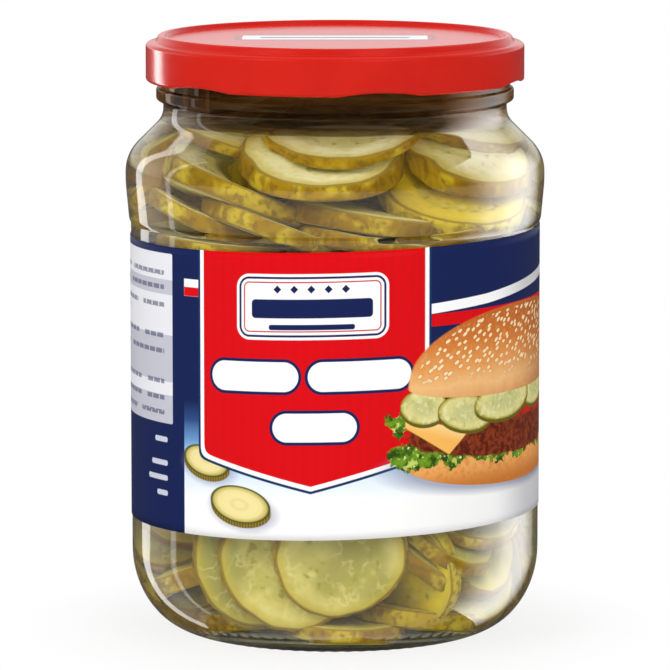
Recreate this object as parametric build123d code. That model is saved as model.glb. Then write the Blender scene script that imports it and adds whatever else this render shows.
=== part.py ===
from build123d import *

import math
import os

# A jar of sliced pickles in brine: a glass jar, its lug lid screwed down, and a label wrapped round it.
# The origin is the centre of the base, on the surface that the jar stands on. +Z is up and the front
# of the label faces -Y. All sizes are in millimetres. Outlines are drawn with the radius as x and the
# height as y, then turned about the Z axis.

# Glass body
body_radius = 47.5  # widest band, above the label
label_recess = 1.15  # how far the label's panel lies inside the widest band
recess_step = 0.4  # the sharper part of that recess, just above the label
glass_wall = 2.5
base_thickness = 4.5
push_up = 4.0  # rise of the hollow under the base
bearing_radius = 31.0  # outer edge of the flat ring that the jar stands on
bearing_width = 2.5
heel_height = 19.0
recess_slope_height = 0.8
belly_flare_height = 8.2
belly_band_height = 6.2
panel_round = 0.6
recess_round = 3.5
belly_round = 30.0
shoulder_angle = 45.0  # slope of the shoulder above the horizontal
shoulder_round = 9.0
neck_round = 5.0

# Gripping dimples round the edge of the base
dimple_count = 72
dimple_ball_radius = 1.5
dimple_depth = 0.35
dimple_offset = 1.9  # from the bearing ring out to the row of dimples

# Neck and screw finish
finish_radius = 39.5
neck_relief = 0.6  # how far the neck groove lies inside the finish
neck_height = 3.2
bead_width = 1.0  # how far the bead under the lid stands out from the finish
bead_height = 2.7
bead_slope_height = 0.9
bead_round = 0.7
rim_round = 0.9
thread_width = 1.6  # how far a thread ramp stands out from the finish
thread_height = 1.8
thread_sweep = 44.0
thread_tilt = 2.5

# Lid
lid_thickness = 0.3
lid_thread_gap = 1.4  # clearance from the thread ramps to the skirt
lid_depth = 9.2  # from the sealing face down to the lower edge
lid_bead_gap = 1.3  # from the bead up to the lid's lower edge
crest_height = 1.0  # rim of the lid above its sunk panel
crest_inset = 3.6  # from the skirt in to the middle of the crest
crest_width = 1.2
crest_slope_width = 0.75
ledge_drop = 0.5  # ledge outside the crest, below the panel
ledge_fall = 0.4
panel_foot_round = 0.4
crest_inner_round = 0.55
crest_outer_round = 0.8
ledge_round = 0.5
lid_corner_round = 1.0
curl_radius = 0.9
lug_count = 6
first_lug_azimuth = -16.3  # from the front, towards +X
lug_sweep = 24.0
lug_clearance = 0.6  # from the glass finish out to a lug
lug_height = 1.0
lug_thread_gap = 0.2  # from a lug up to the ramp above it
scallop_rise = 0.78
scallop_radius = 50.0

# Label
paper_thickness = 0.15
label_height = 63.9
label_lift = 8.9  # from the top of the heel to the label's lower edge, at the front
label_margin = 0.4  # glass left above the label's highest point
label_tilt = 1.5  # the edges climb towards +X
label_overlap = 8.0

# Contents
brine_below_rim = 18.5

# A round takes at most this share of a side that it shares with another round
round_share = 0.95

# Values that follow
panel_radius = body_radius - label_recess
label_radius = panel_radius + paper_thickness
label_middle = heel_height + label_lift + label_height / 2
label_climb = label_radius * math.tan(math.radians(label_tilt))
panel_top = label_middle + label_height / 2 + label_climb + label_margin
recess_top = panel_top + recess_slope_height
flare_top = recess_top + belly_flare_height
shoulder_base = flare_top + belly_band_height
neck_radius = finish_radius - neck_relief
shoulder_width = body_radius - neck_radius
shoulder_climb = shoulder_width * math.tan(math.radians(shoulder_angle))
neck_base = shoulder_base + shoulder_climb
bead_radius = finish_radius + bead_width
bead_base = neck_base + neck_height
bead_top = bead_base + bead_slope_height + bead_height
lid_bottom = bead_top + lid_bead_gap
rim_height = lid_bottom + lid_depth
brine_level = rim_height - brine_below_rim
inner_panel_radius = panel_radius - glass_wall
lid_inner_radius = finish_radius + thread_width + lid_thread_gap
lid_radius = lid_inner_radius + lid_thickness
lug_inner_radius = finish_radius + lug_clearance
lug_top = lid_bottom + lug_height
lug_turns = [360 / lug_count * step for step in range(lug_count)]
scallop_azimuth = first_lug_azimuth + 180 / lug_count


def inset(corners, wall):
    """The outline of (radius, height, round) corners moved in by a wall, its rounds kept parallel."""
    points = [Vector(radius, height) for radius, height, _ in corners]
    ways = [(after - before).normalized() for before, after in zip(points, points[1:])]
    ways = [ways[0], *ways, ways[-1]]
    moved = []
    for point, before, after, (_, _, fillet_radius) in zip(points, ways, ways[1:], corners):
        normals = before.rotate(Axis.Z, 90), after.rotate(Axis.Z, 90)
        middle = (normals[0] + normals[1]) / (1 + normals[0].dot(normals[1]))
        outward_bend = before.cross(after).Z > 0
        kept = fillet_radius - wall if outward_bend else fillet_radius + wall
        place = point + middle * wall
        moved.append((place.X, place.Y, max(kept, 0)))
    return moved


def rounded(corners):
    """A line through (radius, height, round) corners, each round cut to what its two sides leave it."""
    points = [Vector(radius, height) for radius, height, _ in corners]
    rounds = [fillet_radius for _, _, fillet_radius in corners[1:-1]]
    sides = [after - before for before, after in zip(points, points[1:])]
    turns = [math.radians(before.get_angle(after)) for before, after in zip(sides, sides[1:])]
    used = [0, *(wanted * math.tan(turn / 2) for wanted, turn in zip(rounds, turns)), 0]
    shared = zip(sides, zip(used, used[1:]))
    spare = [round_share * side.length / (sum(ends) or side.length) for side, ends in shared]
    kept = [wanted * min(1, *shares) for wanted, shares in zip(rounds, zip(spare, spare[1:]))]
    return FilletPolyline(*points, radius=kept)


def turned(*lines):
    """The solid that a closed outline sweeps round the Z axis."""
    return revolve(Plane.XZ * make_face([edge for line in lines for edge in line.edges()]), Axis.Z)


def dome(edge_radius, edge_height, rise):
    """An arc from the axis, at its highest, down and out to an edge."""
    sphere_radius = (edge_radius**2 + rise**2) / (2 * rise)
    sweep = math.degrees(math.asin(edge_radius / sphere_radius))
    centre = (0, edge_height + rise - sphere_radius)
    return CenterArc(centre, sphere_radius, 90, -sweep)


def at_azimuth(azimuth):
    """A turn that takes +X to an azimuth counted from the front towards +X."""
    return Rot(0, 0, azimuth - 90)


def body_corners():
    """Outside of the glass from the top of the heel to the neck groove."""
    return [
        (panel_radius, heel_height, 0),
        (panel_radius, panel_top, panel_round),
        (panel_radius + recess_step, recess_top, recess_round),
        (body_radius, flare_top, belly_round),
        (body_radius, shoulder_base, shoulder_round),
        (neck_radius, neck_base, neck_round),
    ]


def make_cavity():
    """The space inside the glass, up to the rim."""
    floor = dome(bearing_radius, base_thickness, push_up)
    heel = EllipticalCenterArc(
        (bearing_radius, heel_height),
        inner_panel_radius - bearing_radius,
        heel_height - base_thickness,
        start_angle=270,
        arc_size=90,
    )
    side_corners = inset([*body_corners(), (neck_radius, rim_height, 0)], glass_wall)
    mouth_radius = side_corners[-1][0]
    side = rounded(side_corners)
    rest = Polyline((mouth_radius, rim_height), (0, rim_height), (0, base_thickness + push_up))
    return turned(floor, heel, side, rest)


def thread_ramp():
    """One short sloping thread, middle on +X, standing clear above the lug under it."""
    lug_drop = finish_radius * math.sin(math.radians(lug_sweep / 2)) * math.tan(math.radians(thread_tilt))
    middle = lug_top + lug_thread_gap + lug_drop + thread_height / 2
    root = finish_radius - thread_width / 2
    section = Polyline(
        (root, -thread_height / 2),
        (finish_radius + thread_width, -thread_height / 5),
        (finish_radius + thread_width, thread_height / 5),
        (root, thread_height / 2),
        close=True,
    )
    ramp = revolve(Plane.XZ * make_face(section.edges()), Axis.Z, thread_sweep)
    return Pos(0, 0, middle) * Rot(thread_tilt, 0, 0) * Rot(0, 0, -thread_sweep / 2) * ramp


def dimple():
    """One ball on the side of +X that cuts its depth into the heel just outside the bearing ring."""
    reach_x = panel_radius - bearing_radius
    along = dimple_offset / reach_x
    surface = heel_height * (1 - math.sqrt(1 - along**2))
    slope = heel_height / reach_x * along / math.sqrt(1 - along**2)
    outward = Vector(slope, 0, -1).normalized()
    on_heel = Vector(bearing_radius + dimple_offset, 0, surface)
    ball = Rot(0, 90, 0) * Sphere(dimple_ball_radius)
    return Pos(on_heel + outward * (dimple_ball_radius - dimple_depth)) * ball


def make_glass(cavity):
    """The jar: turned body with dimpled base, neck, bead and a rounded rim, and its thread ramps."""
    hollow = dome(bearing_radius - bearing_width, 0, push_up)
    ring = Line((bearing_radius - bearing_width, 0), (bearing_radius, 0))
    heel = EllipticalCenterArc(
        (bearing_radius, heel_height),
        panel_radius - bearing_radius,
        heel_height,
        start_angle=270,
        arc_size=90,
    )
    side = rounded(
        [
            *body_corners(),
            (neck_radius, bead_base, bead_round),
            (bead_radius, bead_base + bead_slope_height, bead_round),
            (bead_radius, bead_top, bead_round),
            (finish_radius, bead_top, bead_round / 4),
            (finish_radius, rim_height, 0),
        ]
    )
    rest = Polyline((finish_radius, rim_height), (0, rim_height), (0, push_up))
    glass = turned(hollow, ring, heel, side, rest) - cavity
    glass = fillet(glass.edges().group_by(Axis.Z)[-1], rim_round)
    glass -= [Rot(0, 0, 360 / dimple_count * step) * dimple() for step in range(dimple_count)]
    ramp = thread_ramp()
    ramps = [at_azimuth(first_lug_azimuth + turn) * ramp for turn in lug_turns]
    return glass + ramps


def make_lid():
    """The pressed lid, screwed down: sunk panel, crest, ledge, skirt, curled edge, lugs and scallops."""
    panel_height = rim_height + lid_thickness
    crest_radius = lid_radius - crest_inset
    foot_radius = crest_radius + crest_width / 2 + crest_slope_width
    crest_top = panel_height + crest_height
    ledge_height = panel_height - ledge_drop
    curl_middle = (lid_radius - curl_radius, lid_bottom + curl_radius)
    outside = [
        (0, panel_height, 0),
        (crest_radius - crest_width / 2 - crest_height / 2, panel_height, panel_foot_round),
        (crest_radius - crest_width / 2, crest_top, crest_inner_round),
        (crest_radius + crest_width / 2, crest_top, crest_outer_round),
        (foot_radius, ledge_height, ledge_round),
        (lid_radius, ledge_height - ledge_fall, lid_corner_round),
        (lid_radius, curl_middle[1], 0),
    ]
    skirt_inside = inset(outside[:2:-1], lid_thickness)
    slope_top, slope_foot = skirt_inside[-1], skirt_inside[-2]
    share = (rim_height - slope_foot[1]) / (slope_top[1] - slope_foot[1])
    seat_edge = slope_foot[0] + share * (slope_top[0] - slope_foot[0])
    curl_end = math.degrees(math.acos((lid_inner_radius - curl_middle[0]) / curl_radius))
    curl = CenterArc(curl_middle, curl_radius, 0, curl_end - 360)
    inside_start = (lid_inner_radius, (curl @ 1).Y, 0)
    inside = rounded([inside_start, *skirt_inside[1:-1], (seat_edge, rim_height, 0)])
    under = Polyline((seat_edge, rim_height), (0, rim_height), (0, panel_height))
    lid = turned(rounded(outside), curl, inside, under)

    lug_width = curl_middle[0] - lug_inner_radius
    lug_section = Pos(lug_inner_radius + lug_width / 2, lug_top - lug_height / 2) * RectangleRounded(
        lug_width, lug_height, 0.45 * min(lug_width, lug_height)
    )
    lug = Rot(0, 0, -lug_sweep / 2) * revolve(Plane.XZ * lug_section, Axis.Z, lug_sweep)
    scallop_middle = lid_bottom + scallop_rise - scallop_radius
    scallop = Pos(lid_radius, 0, scallop_middle) * Rot(0, 90, 0) * Cylinder(scallop_radius, 8 * curl_radius)
    lid += [at_azimuth(first_lug_azimuth + turn) * lug for turn in lug_turns]
    return lid - [at_azimuth(scallop_azimuth + turn) * scallop for turn in lug_turns]


def make_label():
    """Paper wrapped once round the panel, its ends lapped at the back and its edges slightly tilted."""
    tall = label_height + 4 * label_climb
    wrap = Cylinder(label_radius, tall) - Cylinder(panel_radius, tall)
    lap_sweep = math.degrees(label_overlap / label_radius)
    lap_section = Pos(label_radius, 0) * Rectangle(paper_thickness, tall, align=(Align.MIN, Align.CENTER))
    lap = at_azimuth(180 - lap_sweep / 2) * revolve(Plane.XZ * lap_section, Axis.Z, lap_sweep)
    slab_height = label_height * math.cos(math.radians(label_tilt))
    slab = Rot(0, -label_tilt, 0) * Box(4 * label_radius, 4 * label_radius, slab_height)
    return Pos(0, 0, label_middle) * ((wrap + lap) & slab)


def make_contents(cavity):
    """Brine and pickles together, filling the cavity up to the brine's level."""
    above = Pos(0, 0, brine_level) * Box(
        3 * body_radius, 3 * body_radius, 2 * rim_height, align=(Align.CENTER, Align.CENTER, Align.MIN)
    )
    return cavity - above


cavity = make_cavity()
nodes = {
    "glass_jar": make_glass(cavity),
    "lid": make_lid(),
    "label": make_label(),
    "pickles_in_brine": make_contents(cavity),
}
os.makedirs("parts", exist_ok=True)
for name, shape in nodes.items():
    export_step(shape, f"parts/{name}.step")
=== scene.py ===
"""A glass jar of sliced pickles in brine, with a red lug lid and a printed label, in a pale studio.

Every piece is a surface worked out as arrays in millimetres and put into its mesh in metres. Azimuths
are counted from the front, which faces -Y, towards +X.
"""

import math
from functools import partialmethod

import bpy
import numpy as np
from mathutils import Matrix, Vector


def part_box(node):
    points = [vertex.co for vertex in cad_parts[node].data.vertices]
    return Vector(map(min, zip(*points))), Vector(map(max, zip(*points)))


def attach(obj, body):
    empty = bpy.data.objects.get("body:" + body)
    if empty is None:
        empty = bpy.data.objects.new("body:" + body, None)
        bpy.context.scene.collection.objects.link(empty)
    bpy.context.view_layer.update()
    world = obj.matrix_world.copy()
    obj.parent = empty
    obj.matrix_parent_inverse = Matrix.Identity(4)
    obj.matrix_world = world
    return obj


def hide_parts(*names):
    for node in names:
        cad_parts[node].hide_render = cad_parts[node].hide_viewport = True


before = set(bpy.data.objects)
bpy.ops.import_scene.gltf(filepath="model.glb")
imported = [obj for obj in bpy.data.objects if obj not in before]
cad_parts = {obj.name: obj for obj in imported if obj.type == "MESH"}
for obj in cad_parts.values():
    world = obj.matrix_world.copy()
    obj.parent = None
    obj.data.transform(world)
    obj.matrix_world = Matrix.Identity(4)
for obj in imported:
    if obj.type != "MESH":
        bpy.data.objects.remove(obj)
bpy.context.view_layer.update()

MM = 0.001
TAU = 2 * math.pi

# ---- sizes, from the frame and by name


def node_box(name):
    """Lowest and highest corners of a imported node, in millimetres."""
    low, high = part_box(name)
    return np.array(low) / MM, np.array(high) / MM


jar_low, jar_high = node_box("glass_jar")
lid_low, lid_high = node_box("lid")
label_low, label_high = node_box("label")
fill_low, fill_high = node_box("pickles_in_brine")

BODY_RADIUS = jar_high[0]
RIM_HEIGHT = jar_high[2]
BRINE_LEVEL = fill_high[2]
LID_RADIUS = lid_high[0]
LID_BOTTOM = lid_low[2]
LID_TOP = lid_high[2]
LABEL_RADIUS = label_high[0]
LABEL_MIDDLE = (label_low[2] + label_high[2]) / 2
LABEL_TILT = math.radians(1.5)
LABEL_HEIGHT = label_high[2] - label_low[2] - 2 * LABEL_RADIUS * math.tan(LABEL_TILT)
PAPER = 0.15
LAP_WIDTH = 8.0
PANEL_RADIUS = LABEL_RADIUS - PAPER

WALL = 2.5
BASE_THICKNESS = fill_low[2]
PUSH_UP = 4.0
BEARING_RADIUS = 31.0
BEARING_WIDTH = 2.5
HEEL_HEIGHT = 19.0
PANEL_TOP = label_high[2] + 0.4
RECESS_TOP = PANEL_TOP + 0.8
FLARE_TOP = RECESS_TOP + 8.2
SHOULDER_BASE = FLARE_TOP + 6.2
FINISH_RADIUS = 39.5
NECK_RADIUS = FINISH_RADIUS - 0.6
NECK_BASE = SHOULDER_BASE + BODY_RADIUS - NECK_RADIUS
BEAD_RADIUS = FINISH_RADIUS + 1.0
BEAD_BASE = NECK_BASE + 3.2
BEAD_TOP = BEAD_BASE + 3.6
THREAD_WIDTH = 1.6
LUG_COUNT = 6
FIRST_LUG = math.radians(-16.3)
LUG_SPREAD = TAU / LUG_COUNT
DIMPLE_COUNT = 72
INTO_WALL = 0.3  # how far the brine reaches into the glass
FLOOR_STEPS = 10  # points on the arc of the jar's floor
HEEL_STEPS = 16  # points on the inside of the heel, from the floor's last one on
TIN = 0.3

# ---- outlines and surfaces


def unit(vectors):
    """Each row scaled to length one."""
    return vectors / np.linalg.norm(vectors, axis=1)[:, None]


def rounded(corners, longest=2.0):
    """A smooth outline through (radius, height, round) corners.

    Each corner is replaced by the circular arc of its round that touches both sides, and straight runs
    are divided so that no step is longer than the longest given.
    """
    corners = np.array(corners, dtype=float)
    points = corners[:, :2]
    ways = unit(np.diff(points, axis=0))
    path = [points[0]]
    for index in range(1, len(points) - 1):
        before, after, radius = ways[index - 1], ways[index], corners[index, 2]
        bend = math.atan2(before[0] * after[1] - before[1] * after[0], before @ after)
        side = math.copysign(1, bend)
        start = points[index] - before * radius * math.tan(abs(bend) / 2)
        centre = start + side * radius * np.array([-before[1], before[0]])
        angles = np.linspace(0, bend, 7)
        spoke = start - centre
        turned = [spoke[0] * np.cos(angles) - spoke[1] * np.sin(angles),
                  spoke[0] * np.sin(angles) + spoke[1] * np.cos(angles)]
        path.extend((centre[:, None] + turned).T)
    path.append(points[-1])
    path = np.array(path)
    lengths = np.linalg.norm(np.diff(path, axis=0), axis=1)
    path, lengths = path[np.append(True, lengths > 1e-6)], lengths[lengths > 1e-6]
    counts = np.maximum(1, np.ceil(lengths / longest).astype(int))
    marks = np.concatenate([np.arange(count) / count + place for place, count in enumerate(counts)])
    marks = np.append(marks, len(path) - 1)
    return np.stack([np.interp(marks, np.arange(len(path)), path[:, axis]) for axis in (0, 1)], axis=1)


def quarter(centre_radius, centre_height, width, height, steps):
    """A quarter of an ellipse from straight below its centre round to its outer side."""
    angles = np.linspace(-math.pi / 2, 0, steps)
    across, up = centre_radius + width * np.cos(angles), centre_height + height * np.sin(angles)
    return np.stack([across, up], axis=1)


def dome(edge_radius, edge_height, rise, steps=FLOOR_STEPS):
    """An arc of a sphere from the axis, at its highest, out to its edge."""
    ball = (edge_radius**2 + rise**2) / (2 * rise)
    radii = np.linspace(0, edge_radius, steps)
    return np.stack([radii, edge_height + rise - ball + np.sqrt(ball**2 - radii**2)], axis=1)


def window(values, centre, half_width, edge):
    """1 within half a width of the centre, falling to 0 over the edge along a half cosine."""
    ramp = np.clip((np.abs(values - centre) - half_width) / edge, 0, 1)
    return 0.5 + 0.5 * np.cos(math.pi * ramp)


def round_trip(azimuth, first, spread):
    """Signed angle from the nearest of a ring of places, evenly spread from the first."""
    return (azimuth - first + spread / 2) % spread - spread / 2


def azimuths(count):
    """Even steps round, the first at the front."""
    return np.arange(count) * TAU / count


def around(radius, height, azimuth):
    """Points at a radius, a height and an azimuth, as arrays of one shape."""
    radius, height, azimuth = np.broadcast_arrays(radius, height, azimuth)
    return np.stack([radius * np.sin(azimuth), -radius * np.cos(azimuth), height], axis=-1)


def place_in_scene(name, data):
    """A new object at the origin with a mesh, light or camera."""
    made = bpy.data.objects.new(name, data)
    bpy.context.scene.collection.objects.link(made)
    return made


def make_mesh(name, points, faces, material, attributes=None):
    """A smooth object from points in millimetres, its faces, a material and any point attributes."""
    mesh = bpy.data.meshes.new(name)
    mesh.from_pydata((points * MM).tolist(), [], faces)
    for attribute, values in (attributes or {}).items():
        kind, field = ("FLOAT_VECTOR", "vector") if values.ndim == 2 else ("FLOAT", "value")
        mesh.attributes.new(attribute, kind, "POINT").data.foreach_set(field, values.ravel())
    mesh.polygons.foreach_set("use_smooth", [True] * len(mesh.polygons))
    mesh.materials.append(material)
    mesh.update()
    return place_in_scene(name, mesh)


def ring_faces(rows, columns, first=0, row_wrap=False):
    """Four-cornered faces between neighbouring rings of points, each ring closed on itself."""
    lower = np.arange(rows if row_wrap else rows - 1)
    row, column = np.meshgrid(lower, np.arange(columns), indexing="ij")
    above, beside = (row + 1) % rows, (column + 1) % columns
    corners = [(row, column), (row, beside), (above, beside), (above, column)]
    return np.stack([ring * columns + place for ring, place in corners], axis=-1).reshape(-1, 4) + first


def make_rings(name, grids, material, attributes=None, flip=False):
    """One mesh of closed surfaces, each made of rings of which the first and last shrink to points.

    The grids run over surfaces, if there are several, rings, places on a ring and coordinates. Flip is
    for rings that run against the way the faces point.
    """
    grids = grids.reshape(-1, *grids.shape[-3:])
    count, rows, columns = grids.shape[:3]
    column = np.arange(columns)
    beside = (column + 1) % columns
    last = (rows - 2) * columns + 1
    last_ring = last - columns
    groups = [
        ring_faces(rows - 2, columns, first=1),
        np.stack([0 * column, 1 + beside, 1 + column], axis=1),
        np.stack([last_ring + column, last_ring + beside, 0 * column + last], axis=1),
    ]
    faces = []
    for group in groups:
        whole = (group[:, ::-1] if flip else group) + (np.arange(count) * (last + 1))[:, None, None]
        faces += whole.reshape(-1, group.shape[1]).tolist()

    def with_poles(values):
        """Values on the grids, the first and last ring of each surface cut to one point."""
        inner = values[:, 1:-1].reshape(count, -1, *values.shape[3:])
        kept = np.concatenate([values[:, 0, :1], inner, values[:, -1, :1]], axis=1)
        return kept.reshape(-1, *values.shape[3:])

    given = {}
    for attribute, values in (attributes or {}).items():
        given[attribute] = with_poles(np.broadcast_to(values, grids.shape[: max(values.ndim, 3)]))
    return make_mesh(name, with_poles(grids), faces, material, given)


# ---- glass


def inset(corners, wall):
    """The outline of (radius, height, round) corners moved inward by a wall, its rounds kept parallel."""
    corners = np.array(corners, dtype=float)
    ways = unit(np.diff(corners[:, :2], axis=0))
    ways = np.vstack([ways[:1], ways, ways[-1:]])
    before, after = ways[:-1], ways[1:]
    normals = np.stack([-before[:, 1] - after[:, 1], before[:, 0] + after[:, 0]], axis=1)
    moved = corners[:, :2] + wall * normals / (1 + np.sum(before * after, axis=1))[:, None]
    bend = before[:, 0] * after[:, 1] - before[:, 1] * after[:, 0]
    rounds = np.maximum(corners[:, 2] - wall * np.sign(bend), 0)
    rounds[corners[:, 2] == 0] = 0
    return np.column_stack([moved, rounds])


def body_corners():
    """Outside of the glass from the heel up to the neck groove."""
    return [
        (PANEL_RADIUS, HEEL_HEIGHT, 0),
        (PANEL_RADIUS, PANEL_TOP, 0.6),
        (PANEL_RADIUS + 0.4, RECESS_TOP, 3.5),
        (BODY_RADIUS, FLARE_TOP, 30.0),
        (BODY_RADIUS, SHOULDER_BASE, 9.0),
        (NECK_RADIUS, NECK_BASE, 5.0),
    ]


def cavity_outline(grow=0.0):
    """Inside of the glass from the floor's middle up to the mouth, grown into the wall if asked."""
    wall = WALL - grow
    inner = PANEL_RADIUS - wall
    floor = dome(BEARING_RADIUS, BASE_THICKNESS - grow, PUSH_UP)
    depth = HEEL_HEIGHT - BASE_THICKNESS + grow
    heel = quarter(BEARING_RADIUS, HEEL_HEIGHT, inner - BEARING_RADIUS, depth, HEEL_STEPS)
    side = rounded(inset([*body_corners(), (NECK_RADIUS, RIM_HEIGHT, 0)], wall), longest=1.5)
    return np.concatenate([floor, heel[1:], side[1:]])


def glass_outline():
    """The whole section of the glass: under the base, up the outside, over the rim and down inside."""
    mouth = NECK_RADIUS - WALL
    outside = [
        *body_corners(),
        (NECK_RADIUS, BEAD_BASE, 0.7),
        (BEAD_RADIUS, BEAD_BASE + 0.9, 0.7),
        (BEAD_RADIUS, BEAD_TOP, 0.7),
        (FINISH_RADIUS, BEAD_TOP, 0.17),
        (FINISH_RADIUS, RIM_HEIGHT, 0.9),
        (mouth, RIM_HEIGHT, 0.9),
        (mouth, RIM_HEIGHT - 3, 0),
    ]
    hollow = dome(BEARING_RADIUS - BEARING_WIDTH, 0, PUSH_UP)
    heel = quarter(BEARING_RADIUS, HEEL_HEIGHT, PANEL_RADIUS - BEARING_RADIUS, HEEL_HEIGHT, steps=24)
    inside = cavity_outline()[::-1]
    inside = inside[inside[:, 1] < RIM_HEIGHT - 3 - 1e-6]
    return np.concatenate([hollow, heel, rounded(outside, longest=1.2)[1:], inside])


def make_glass(material):
    """The jar, turned, then changed by three formulas.

    Dimples: places round the base's edge are pushed up along a cosine bell. Thread ramps: the finish
    swells along short lines that climb with azimuth. Ripple: the outside waves in and out by a few
    hundredths, with the sum of three cosines of azimuth.
    """
    outline = glass_outline()
    azimuth = azimuths(4 * DIMPLE_COUNT)
    radius, height = outline[:, :1], outline[:, 1:]
    outer_rows = np.arange(len(outline))[:, None] < np.argmax(outline[:, 1])
    place = (azimuth * DIMPLE_COUNT / TAU) % 1
    bell = 0.5 - 0.5 * np.cos(TAU * place)
    heel_row = window(radius, BEARING_RADIUS + 1.9, 0.3, 1.3) * (height < 3) * outer_rows
    dimples = 0.55 * bell * heel_row
    from_lug = round_trip(azimuth, FIRST_LUG, LUG_SPREAD)
    ramp_height = LID_BOTTOM + 2.6 + FINISH_RADIUS * math.tan(math.radians(2.5)) * np.sin(from_lug)
    ramp = window(height, ramp_height, 0.4, 0.7) * window(from_lug, 0, math.radians(20), 0.05)
    threads = THREAD_WIDTH * ramp * outer_rows * (radius > FINISH_RADIUS - 0.1) * (height > LID_BOTTOM)
    sway = np.cos(19 * azimuth + 0.4) + 0.7 * np.cos(31 * azimuth + 2) + 0.5 * np.cos(47 * azimuth + 1)
    ripple = 0.018 * sway * window(height, 60, 38, 8) * outer_rows
    spare = 0.04 * outer_rows * (height > 5)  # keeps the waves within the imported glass
    grid = around(radius + threads + ripple - spare, height + dimples, azimuth)
    return make_rings("jar_glass", grid, material)


# ---- lid


def lid_outline():
    """The lid's section from the middle of its underside out, round the curled edge and over the top."""
    panel = RIM_HEIGHT + 0.3
    crest = LID_RADIUS - 3.6
    ledge = panel - 0.5
    curl = 0.9
    outside = [
        (LID_RADIUS, LID_BOTTOM + curl, 0),
        (LID_RADIUS, ledge - 0.4, 1.0),
        (crest + 1.35, ledge, 0.5),
        (crest + 0.6, LID_TOP, 0.8),
        (crest - 0.6, LID_TOP, 0.55),
        (crest - 1.1, panel, 0.4),
        (30.0, panel, 0),
    ]
    inside = inset(outside[:4], TIN)
    slope_foot, slope_top = inside[2], inside[3]
    share = (RIM_HEIGHT - slope_foot[1]) / (slope_top[1] - slope_foot[1])
    seat_edge = slope_foot[0] + share * (slope_top[0] - slope_foot[0])
    angles = np.linspace(math.acos(1 - TIN / curl), TAU, 26)
    curl_centre = np.array([LID_RADIUS - curl, LID_BOTTOM + curl])
    curl_ring = curl_centre + curl * np.stack([np.cos(angles), np.sin(angles)], axis=1)
    seat = [(0, RIM_HEIGHT, 0), (seat_edge, RIM_HEIGHT, 0)]
    under = rounded([*seat, inside[2], inside[1], (*curl_ring[0], 0)])
    top = rounded([*outside, (0, panel, 0)])
    return np.concatenate([under, curl_ring[1:-1], top]), len(under)


def make_lid(material):
    """The lid, turned, its curled edge lifted between the lugs and drawn inward at each lug."""
    fade, skirt = 2.6, 38  # height over which both fade, and the radius where the skirt starts
    outline, under_rows = lid_outline()
    azimuth = azimuths(360)
    radius, height = outline[:, :1], outline[:, 1:]
    low = np.clip(1 - (height - LID_BOTTOM) / fade, 0, 1) * (radius > skirt)
    from_gap = round_trip(azimuth, FIRST_LUG + LUG_SPREAD / 2, LUG_SPREAD)
    from_lug = round_trip(azimuth, FIRST_LUG, LUG_SPREAD)
    arch = np.clip(1 - (from_gap / math.radians(12.5)) ** 2, 0, 1)
    lift = 0.8 * arch * low**1.4
    inner_side = np.clip((LID_RADIUS - 0.8 - radius) / 0.8, 0, 1)
    draw = 0.95 * window(from_lug, 0, math.radians(9), math.radians(5)) * low * inner_side
    lacquer = (np.arange(len(outline)) < under_rows)[:, None] * 1.0
    grid = around(radius - draw, height + lift, azimuth)
    return make_rings("lid_shell", grid, material, {"lacquer": lacquer})


# ---- label


def make_label(material):
    """Paper round the panel: a thin closed ring whose height shifts with x, for tilted edges.

    At the back it steps out by one thickness of paper over the width of the lap.
    """
    columns, rows = 360, 33
    azimuth = azimuths(columns)
    from_back = np.abs((azimuth % TAU) - math.pi) * LABEL_RADIUS
    lap = PAPER * window(from_back, 0, LAP_WIDTH / 2 - 0.3, 0.3)
    rise = np.linspace(-LABEL_HEIGHT / 2, LABEL_HEIGHT / 2, rows)[:, None]
    shift = LABEL_RADIUS * np.sin(azimuth) * math.tan(LABEL_TILT)
    outer = around(LABEL_RADIUS + lap - 0.01, LABEL_MIDDLE + rise + shift, azimuth)
    inner = around(PANEL_RADIUS, LABEL_MIDDLE + rise[::-1] + shift, azimuth)
    grid = np.concatenate([outer, inner])
    faces = ring_faces(2 * rows, columns, row_wrap=True).tolist()
    return make_mesh("label_wrap", grid.reshape(-1, 3), faces, material)


# ---- contents


def make_brine(material):
    """The brine, turned: the cavity grown a little into the wall, closed by its level surface.

    The surface climbs towards the glass, by a height that falls off exponentially away from it.
    """
    outline = cavity_outline(INTO_WALL)
    side = outline[outline[:, 1] < BRINE_LEVEL - 1e-6]
    wall = outline[FLOOR_STEPS:]
    edge = np.interp(BRINE_LEVEL, wall[:, 1], wall[:, 0])
    across = np.concatenate([np.linspace(edge, edge - 4, 9), np.linspace(edge - 6, 0, 10)])
    climb, fade = 0.9, 1.1
    surface = np.stack([across, BRINE_LEVEL + climb * np.exp(-(edge - across) / fade) - climb], axis=1)
    outline = np.concatenate([side, surface])
    # Marks the level top, which the brine's finish paints with shade
    on_top = (np.arange(len(outline)) >= len(side))[:, None] * 1.0
    grid = around(outline[:, :1], outline[:, 1:], azimuths(180))
    return make_rings("brine", grid, material, {"on_top": on_top})


SLICE_COUNT = 126
CLEARANCE = 0.3  # between the slices and the glass or the brine's surface
GIVE = 0.12  # how much a listed slice gives way to others
BELOW_LABEL, ABOVE_LABEL = 36.0, 86.0  # slices show below and above these heights
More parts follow.
